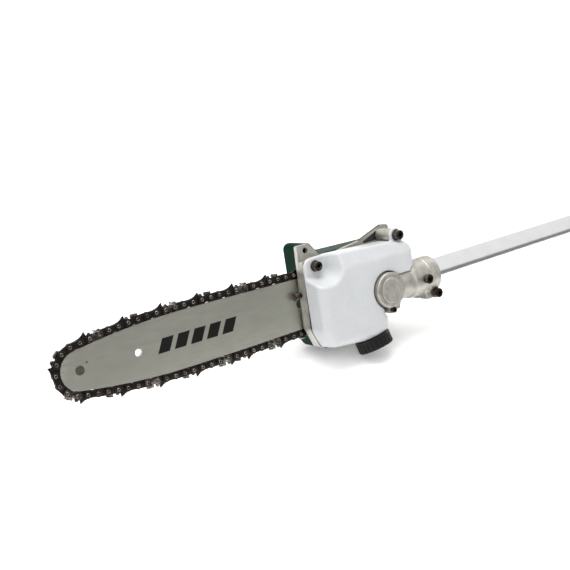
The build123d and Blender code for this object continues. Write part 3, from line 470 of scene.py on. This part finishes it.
def tank_field(x, y, z):
    """The blow-moulded oil tank, with its corner pocket, stepped top and filler neck."""
    rise = 0.09 * np.clip(TANK_BACK - y, 0, 25) * np.clip((-20 - z) / 22, 0, 1)
    side = outline_field(x, z - rise, [
        (233.8, 44.5, 9), (233.6, -27, 12), (242.0, -44.8, 7), (280, -48.4, 30), (314, -47, 14),
        (314, -29.5, 3), (310.8, -25, 2), (310.8, 3.9, 0.5), (355.2, 3.9, 5), (357.0, 38.6, 12), (330, 42.9, 30),
        (262, 45.4, 20)])
    shape = both(both(side, TANK_FACE - y, 8.5), y - TANK_BACK, 0.8)
    # the front leans back above a soft line
    lean = (-(y + 41.3)) * math.cos(LEAN) + (z - STEP_Z) * math.sin(LEAN)
    shape = both(shape, lean, 0.8)
    gear = tube_field(x - GEAR_X, z - GEAR_Z, 18.9)
    gear = np.minimum(gear, tube_field(x - GEAR_X - 0.6, z - GEAR_Z + 20.3, 5.6))
    side_u, up, s = along_pole(x, y, z)
    neck = either(tube_field(side_u, up, 17.5), both(tube_field(side_u, up, 19.7), 33 - s), 1.0)
    neck = both(neck, -s)
    depth = -19.4 - y
    pocket = outline_field(x, z, [(215, 65, 1), (215, 25.5, 1), (255.5, 25.5, 10), (262, 65, 1)])
    pocket = both((pocket - 0.35 * np.maximum(depth, 0)) / 1.06, -depth, 1.5)
    lug_gap = both(tube_field(x - LUG_X, z - LUG_Z, 7.3), -between(y, -32.4, -28.6))
    out, away = from_neck(x, y, z)
    shoulder = both(away - 16.0, between(out, -10, 0), 1.5)
    shoulder = both(shoulder, y + 17.2)
    shape = less(less(shape, gear, 1.2), neck, 1.5)
    shape = less(shape, pocket, 2.5)
    shape = less(shape, lug_gap, 0.6)
    shape = either(shape, shoulder, 2.0)
    shape = less(shape, both(away - 19.2, -out))
    lug = np.maximum(between(x, LUG_X - 7, LUG_X + 7), between(z, 34, LUG_Z))
    lug = np.minimum(tube_field(x - LUG_X, z - LUG_Z, 7.0), lug)
    shape = either(shape, both(lug, between(y, -32.5, -28.6), 0.8), 1.5)
    # hollow inside its walls, up to the neck's root
    hollow = both(shape + TANK_WALL, out + 2.0)
    shape = less(shape, hollow)
    shape = either(shape, both(away - 11.5, between(out, -2.0, 8.4), 0.5))
    shape = less(shape, both(away - 9.0, -14 - out))
    for hole_x, hole_z in ((LUG_X, LUG_Z), (246.5, 36.2)):
        shape = less(shape, both(tube_field(x - hole_x, z - hole_z, 2.6), y + 5))
    return shape


def case_field(x, y, z):
    """The cast gear case: drum, neck, stepped collar and clamp lugs in one casting."""
    u, up, s = along_pole(x, y, z)
    drum_r = tube_field(x - GEAR_X, z - GEAR_Z, DRUM_R)
    drum = both(drum_r, between(y, -45.6, -9), 1.2)
    shape = either(drum, both(tube_field(u, up, 16.5), between(s, 2, 40)), 3.0)
    bulb = both(tube_field(u, up, 18.4), between(s, 34, 54), 0.5)
    shape = either(shape, bulb, 2.5)
    shape = either(shape, both(tube_field(u, up, 19.0), between(s, 54, 67.5), 0.9))
    lugs = both(np.maximum(between(u, -11.5, 11.5), between(up, -23.2, -6.8)), between(s, 50, 68.5), 1.2)
    lugs = both(np.maximum(between(u, -11.5, 11.5), -23.2 - up), both(between(s, 50, 68.5), up + 6.8), 1.6)
    shape = either(shape, lugs, 2.0)
    flange = both(both(drum_r - 6.0, between(y, -12.6, -9), 0.6), 296.6 - x)
    shape = either(shape, flange, 1.0)
    side_x, side_z = GEAR_X + 0.6, GEAR_Z - 20.3
    boss = both(tube_field(x - side_x, z - side_z, 4.0), between(y, -42, -12.6), 0.5)
    shape = either(shape, boss, 1.8)
    tab = outline_field(x, z, [(side_x + 1, -16, 1), (side_x + 3, -24.3, 1.5), (side_x + 10.5, -24.0, 2.0),
                               (side_x + 13, -15, 1)])
    shape = either(shape, both(tab, between(y, -42, -36), 0.7), 1.2)
    # machined inside and out: gear chamber, bearing seats, tube socket, slit and screw seats
    gear_r = drum_r + DRUM_R
    shape = less(shape, both(gear_r - 15.0, between(y, -38.4, -12.3)))
    shape = less(shape, both(gear_r - 11.01, between(y, -46.0, 0)))
    shape = less(shape, both(gear_r - 12.95, y + 45.5))
    shape = less(shape, both(tube_field(u, up, 11.01), between(s, 8, 31)))
    shape = less(shape, both(tube_field(u, up, SOCKET_R), between(s, 30, 90)), 0.5)
    shape = less(shape, both(between(u, -1.0, 1.0), both(up + 12, 48 - s)))
    screws = ((GEAR_X + 47.0, GEAR_Z + 0.5, 2.5, 5.3, -46.5), (GEAR_X + 62.6, -20.4, 2.5, 5.8, -39.0),
              (side_x, side_z, 2.0, 3.4, -42.0))
    for sx, sz, bore, seat, seat_y in screws:
        away = tube_field(x - sx, z - sz, 0.0)
        shape = less(shape, both(away - bore, y - POLE_Y + 3))
        shape = less(shape, both(away - seat, y - seat_y), 0.3)
    return shape


def case_cap_field(x, y, z):
    """The pressed disc that closes the output bearing, with a low raised ring."""
    r = tube_field(x - GEAR_X, z - GEAR_Z, 0.0)
    disc = both(r - 12.7, between(y, -46.6, -45.6), 0.3)
    rim = both(both(r - 12.7, 11.0 - r), between(y, -46.95, -45.6), 0.4)
    return either(disc, rim, 0.6)


# ---------------------------------------------------------------- chain

PITCH = 9.525
# which pairs of links carry a cutter, on the near and on the far side
NEAR = (3, 7, 11, 15, 19, 24, 28, 31, 35, 39)
FAR = (1, 5, 9, 13, 17, 22, 26, 30, 33, 37)


def rivet_line():
    """The rivets' places in the saw's frame, in order round the bar, from one behind the nose over the top."""
    mesh = nodes["chain_rivets"].data
    back = SAW.inverted()
    owner = list(range(len(mesh.vertices)))

    def root(k):
        while owner[k] != k:
            owner[k] = owner[owner[k]]
            k = owner[k]
        return k

    for edge in mesh.edges:
        owner[root(edge.vertices[0])] = root(edge.vertices[1])
    islands = {}
    for k, vert in enumerate(mesh.vertices):
        islands.setdefault(root(k), []).append(back @ vert.co)
    found = []
    for points in islands.values():
        spans = [(min(p[d] for p in points), max(p[d] for p in points)) for d in (0, 2)]
        middle = tuple((low + high) / 2 for low, high in spans)
        if all(math.dist(middle, other) > 3.0 for other in found):
            found.append(middle)
    here = min(found, key=lambda p: math.dist(p, (-19.5, 10.1)))
    found.remove(here)
    line = [here]
    following = max((p for p in found if math.dist(p, here) < PITCH + 0.3), key=lambda p: p[1])
    while found:
        found.remove(following)
        line.append(following)
        if found:
            following = min(found, key=lambda p: math.dist(p, line[-1]))
    return line


RIVETS = rivet_line()


def link_matrix(number):
    x0, z0 = RIVETS[number]
    x1, z1 = RIVETS[(number + 1) % len(RIVETS)]
    return Matrix.Translation((x0, 0, z0)) @ Matrix.Rotation(-math.atan2(z1 - z0, x1 - x0), 4, "Y")


def slab(bm, points, y_from, y_to, edge=0.2):
    """A flat plate in the link's XZ plane with its rims eased."""
    verts = [bm.verts.new((x, y_from, z)) for x, z in points]
    face = bm.faces.new(verts)
    grown = bmesh.ops.extrude_face_region(bm, geom=[face])["geom"]
    top = [v for v in grown if isinstance(v, bmesh.types.BMVert)]
    for vert in top:
        vert.co.y = y_to
    if edge:
        rims = [e for e in bm.edges if e.is_valid and abs(e.verts[0].co.y - e.verts[1].co.y) < 1e-6
                and (e.verts[0] in top or e.verts[0] in verts)]
        bmesh.ops.bevel(bm, geom=rims, offset=edge, segments=2, profile=0.5, affect="EDGES", clamp_overlap=True)


def template(build):
    bm = bmesh.new()
    build(bm)
    bmesh.ops.recalc_face_normals(bm, faces=bm.faces)
    mesh = bpy.data.meshes.new("template")
    bm.to_mesh(mesh)
    bm.free()
    return mesh


def joined(name, node, copies, angle=38.0):
    """One piece out of many placed copies of small meshes."""
    bm = bmesh.new()
    for mesh, matrix in copies:
        placed = mesh.copy()
        placed.transform(matrix)
        bm.from_mesh(placed)
        bpy.data.meshes.remove(placed)
    whole = bpy.data.meshes.new(name)
    bm.to_mesh(whole)
    bm.free()
    whole.transform(SAW)
    piece = new_piece(name, whole)
    marks = [polygon.material_index for polygon in whole.polygons]
    settle(piece, node, angle)
    if any(marks):
        whole.materials.append(BRIGHT)
        whole.polygons.foreach_set("material_index", marks)
    return piece


def peanut(r, waist, deep):
    """A tie strap's outline: two round ends and a drawn-in waist."""
    top = [(r * math.cos(math.radians(a)), r * math.sin(math.radians(a))) for a in range(180, 40, -14)]
    top += [(PITCH * 0.38, waist + 0.12), (PITCH / 2, waist)]
    half = top + [(PITCH - x, z) for x, z in reversed(top[:-1])]
    return half + [(x, -deep * z) for x, z in reversed(half[1:-1])]


def strap(side):
    return lambda bm: slab(bm, peanut(3.45, 2.75, 1.2), side * 0.7, side * 1.9, 0.28)


def drive_link(ramp):
    body = [(-3.3, 0.6, 2.4), (-1.9, 3.3, 1.9), (PITCH + 1.9, 3.3, 1.9), (PITCH + 3.3, 0.6, 2.4),
            (PITCH + 3.2, -4.3, 0.8), (PITCH / 2 + 3.4, -4.4, 0.4), (PITCH / 2 + 1.0, -5.6, 0.9),
            (PITCH / 2 - 2.9, -5.5, 0.6), (PITCH / 2 - 3.2, -4.4, 0.4), (-3.2, -4.3, 0.8)]
    if ramp:
        body[1:3] = [(-3.0, 2.2, 0.8), (-1.4, 3.0, 0.6), (2.8, 4.6, 3.0), (6.6, 7.4, 0.25), (7.3, 3.6, 1.0),
                     (PITCH + 1.9, 3.2, 1.9)]
    points = [tuple(p) for p in rounded(body, 5)]
    return lambda bm: slab(bm, points, -0.65, 0.65, 0.12)


def cutter(side):
    """Side plate with a depth gauge in front and a folded top plate behind."""
    plate = [(-3.45, 0.2, 2.6), (-2.2, -3.8, 2.4), (2.0, -3.8, 2.0), (PITCH / 2, -3.5, 3.0), (7.6, -3.8, 2.0),
             (11.7, -3.8, 2.4), (12.97, 0.2, 2.2), (11.6, 2.6, 1.0), (10.9, 4.9, 0.4), (5.1, 5.3, 0.3),
             (4.3, 2.5, 1.0), (2.7, 2.1, 0.8), (1.1, 5.3, 0.6), (-0.9, 5.2, 1.0), (-2.9, 2.0, 1.4)]
    outline = [tuple(p) for p in rounded(plate, 4)]
    section = [(1.0, 3.0), (1.95, 3.0), (2.78, 4.7), (2.55, 5.55), (1.9, 5.9), (-0.3, 5.9), (-0.3, 5.1), (1.3, 5.0)]

    def build(bm):
        slab(bm, outline, side * 0.7, side * 1.9, 0.2)
        rings = []
        for x, drop, narrow in ((4.6, 0.0, 1.0), (4.9, 0.0, 1.0), (8.0, 0.25, 0.92), (11.0, 0.65, 0.8)):
            lean = 0.5 if x < 4.8 else 0.0
            rings.append([bm.verts.new((x + lean * (z - 5.0), side * y * (narrow if y > 2 else 1.0), z - drop))
                          for y, z in section])
        for a, b in zip(rings, rings[1:]):
            band(bm, a, b)
        bm.faces.new(rings[0])
        bm.faces.new(rings[-1][::-1])
        for face in bm.faces:
            # the folded top plate keeps its bright chrome
            face.material_index = int(face.calc_center_median().z > 4.85 and face.calc_center_median().x > 4.4)
    return build


def rivet(bm):
    """A spun rivet: a raised rim round a dimple at each end."""
    profile = [(0.0, -1.5), (0.75, -1.6), (0.95, -2.3), (1.2, -2.44), (1.55, -2.34), (1.75, -1.92), (1.3, -1.9)]
    profile += [(r, -y) for r, y in reversed(profile)]
    rings = []
    for r, y in profile:
        if r == 0:
            rings.append([bm.verts.new((0, y, 0))])
            continue
        rings.append([bm.verts.new((r * math.cos(t), y, r * math.sin(t)))
                      for t in (2 * math.pi * k / 16 for k in range(16))])
    for a, b in zip(rings, rings[1:]):
        for k in range(16):
            n = (k + 1) % 16
            if len(a) == 1:
                bm.faces.new((a[0], b[k], b[n]))
            elif len(b) == 1:
                bm.faces.new((a[k], a[n], b[0]))
            else:
                bm.faces.new((a[k], a[n], b[n], b[k]))


def make_chain():
    ties = {side: template(strap(side)) for side in (-1, 1)}
    teeth = {side: template(cutter(side)) for side in (-1, 1)}
    plain, ramped = template(drive_link(False)), template(drive_link(True))
    straps, near, far, links = [], [], [], []
    for number in range(len(RIVETS)):
        place = link_matrix(number)
        pair = number // 2 + 1
        if number % 2:
            links.append((ramped if pair % 40 + 1 in NEAR + FAR else plain, place))
            continue
        for side, which, made in ((-1, NEAR, near), (1, FAR, far)):
            if pair in which:
                made.append((teeth[side], place))
            else:
                straps.append((ties[side], place))
    joined("tie_straps", "chain_tie_straps", straps)
    joined("drive_links", "chain_drive_links", links)
    joined("cutters_near", "chain_cutters_near", near, 30)
    joined("cutters_far", "chain_cutters_far", far, 30)
    head = template(rivet)
    joined("rivets", "chain_rivets", [(head, Matrix.Translation((x, 0, z))) for x, z in RIVETS], 50)


# ---------------------------------------------------------------- floor, light and camera


def plane(name, size, matrix):
    mesh = bpy.data.meshes.new(name)
    half = size / 2
    mesh.from_pydata([(-half, -half, 0), (half, -half, 0), (half, half, 0), (-half, half, 0)], [], [(0, 1, 2, 3)])
    made = new_piece(name, mesh)
    made.matrix_world = matrix
    return made


floor = plane("floor", 12.0, Matrix.Identity(4))
floor_look = bpy.data.materials.new("pale_floor")
floor_look.use_nodes = True
floor_shader = floor_look.node_tree.nodes["Principled BSDF"]
floor_shader.inputs["Base Color"].default_value = (0.93, 0.93, 0.93, 1)
floor_shader.inputs["Roughness"].default_value = 0.6
floor_shader.inputs["Emission Color"].default_value = (1, 1, 1, 1)
floor_shader.inputs["Emission Strength"].default_value = 0.22
floor.data.materials.append(floor_look)

world = bpy.data.worlds.new("studio")
bpy.context.scene.world = world
world.use_nodes = True
world.node_tree.nodes.clear()
w = Nodes(world.node_tree)
background = w.add("ShaderNodeBackground", Color=(1, 1, 1, 1), Strength=0.82)
w.add("ShaderNodeOutputWorld", Surface=background.outputs[0])


def area_light(name, at, towards, size, power):
    lamp = bpy.data.lights.new(name, "AREA")
    lamp.shape = "DISK"
    lamp.size = size
    lamp.energy = power
    made = bpy.data.objects.new(name, lamp)
    bpy.context.scene.collection.objects.link(made)
    made.location = at
    made.rotation_euler = (Vector(towards) - Vector(at)).to_track_quat("-Z", "Y").to_euler()


head = SAW @ Vector((290, -20, 0))
area_light("overhead", head + Vector((-0.1, 0.5, 2.6)), head, 2.4, 62)
area_light("side", head + Vector((-1.2, -0.5, 1.6)), head, 1.2, 6)

# a graded grey flag in front of the saw that only mirroring surfaces see: the dark band along the tube
flag_mesh = bpy.data.meshes.new("flag")
flag_mesh.from_pydata([(-4, -0.24, 0.002), (4, -0.24, 0.002), (4, -3.2, 1.35), (-4, -3.2, 1.35)], [], [(0, 1, 2, 3)])
flag = new_piece("flag", flag_mesh)
flag.visible_camera = flag.visible_diffuse = flag.visible_shadow = flag.visible_transmission = False
flag_look = bpy.data.materials.new("grey_flag")
flag_look.use_nodes = True
flag_look.node_tree.nodes.clear()
f = Nodes(flag_look.node_tree)
far_off = f.add("ShaderNodeSeparateXYZ", Vector=f.add("ShaderNodeTexCoord").outputs["Object"]).outputs[1]
glow = f.ramp(far_off, -0.6, -2.6, 0.17, 0.84)
f.add("ShaderNodeOutputMaterial", Surface=f.add("ShaderNodeEmission", Strength=glow).outputs[0])
flag_mesh.materials.append(flag_look)

# right, down and forward of the camera in the saw's own frame, and where it stands
VIEW_RIGHT = Vector((0.80092, -0.57843, -0.15474))
VIEW_DOWN = Vector((-0.22982, -0.05832, -0.97148))
VIEW_AHEAD = Vector((0.55291, 0.81364, -0.17964))
VIEW_AT = Vector((-314.21, -789.06, 196.16))
camera_data = bpy.data.cameras.new("camera")
camera = bpy.data.objects.new("camera", camera_data)
bpy.context.scene.collection.objects.link(camera)
camera_data.sensor_width = 36.0
camera_data.lens = 63.39
axes = Matrix((VIEW_RIGHT, -VIEW_DOWN, -VIEW_AHEAD)).transposed().to_4x4()
camera.matrix_world = Matrix.Translation(SAW @ VIEW_AT) @ TURN @ axes
bpy.context.scene.camera = camera
bpy.context.scene.view_settings.view_transform = "Standard"

# ---------------------------------------------------------------- the pieces, made and placed

make_chain()
turned("inner_tube_turned", "inner_tube", [
    (TUBE_START, 12.5), (TUBE_START, TUBE_R - 0.3), (TUBE_START + 0.3, TUBE_R), (TUBE_END - 0.3, TUBE_R),
    (TUBE_END, TUBE_R - 0.3), (TUBE_END, 12.5)])
moulded("tank_shell", "oil_tank", tank_field, (230, -44, -66), (360, -14, 58), step=0.8, smooth=2)
moulded("case_casting", "gear_case", case_field, (290, -52, -30), (388, -6, 24), step=0.75, smooth=1)
moulded("case_disc", "gear_case_cap", case_cap_field, (301, -48, -17), (330, -44, 12), step=0.5, smooth=0)
for node in ("bar_mount_plate", "sprocket_cover", "filler_cap", "clamp_screw", "tank_screws", "locating_screw",
             "case_side_screw", "tension_screw", "guide_bar", "lock_collar", "lock_lever", "tank_washers",
             "clamp_washer"):
    eased(node)

# the floor of the sunk window in the plate's web is painted darker, partly dirt and partly painted shade, rough as
# cast
web = bpy.data.objects["bar_mount_plate_eased"]
web.data.materials.append(SHADED_HOLLOW)
to_saw = SAW.inverted()
for polygon in web.data.polygons:
    at = to_saw @ polygon.center
    if 315 < at.x < 340 and 42 < at.z < 54 and -8.9 < at.y < -5.5:
        polygon.material_index = 1
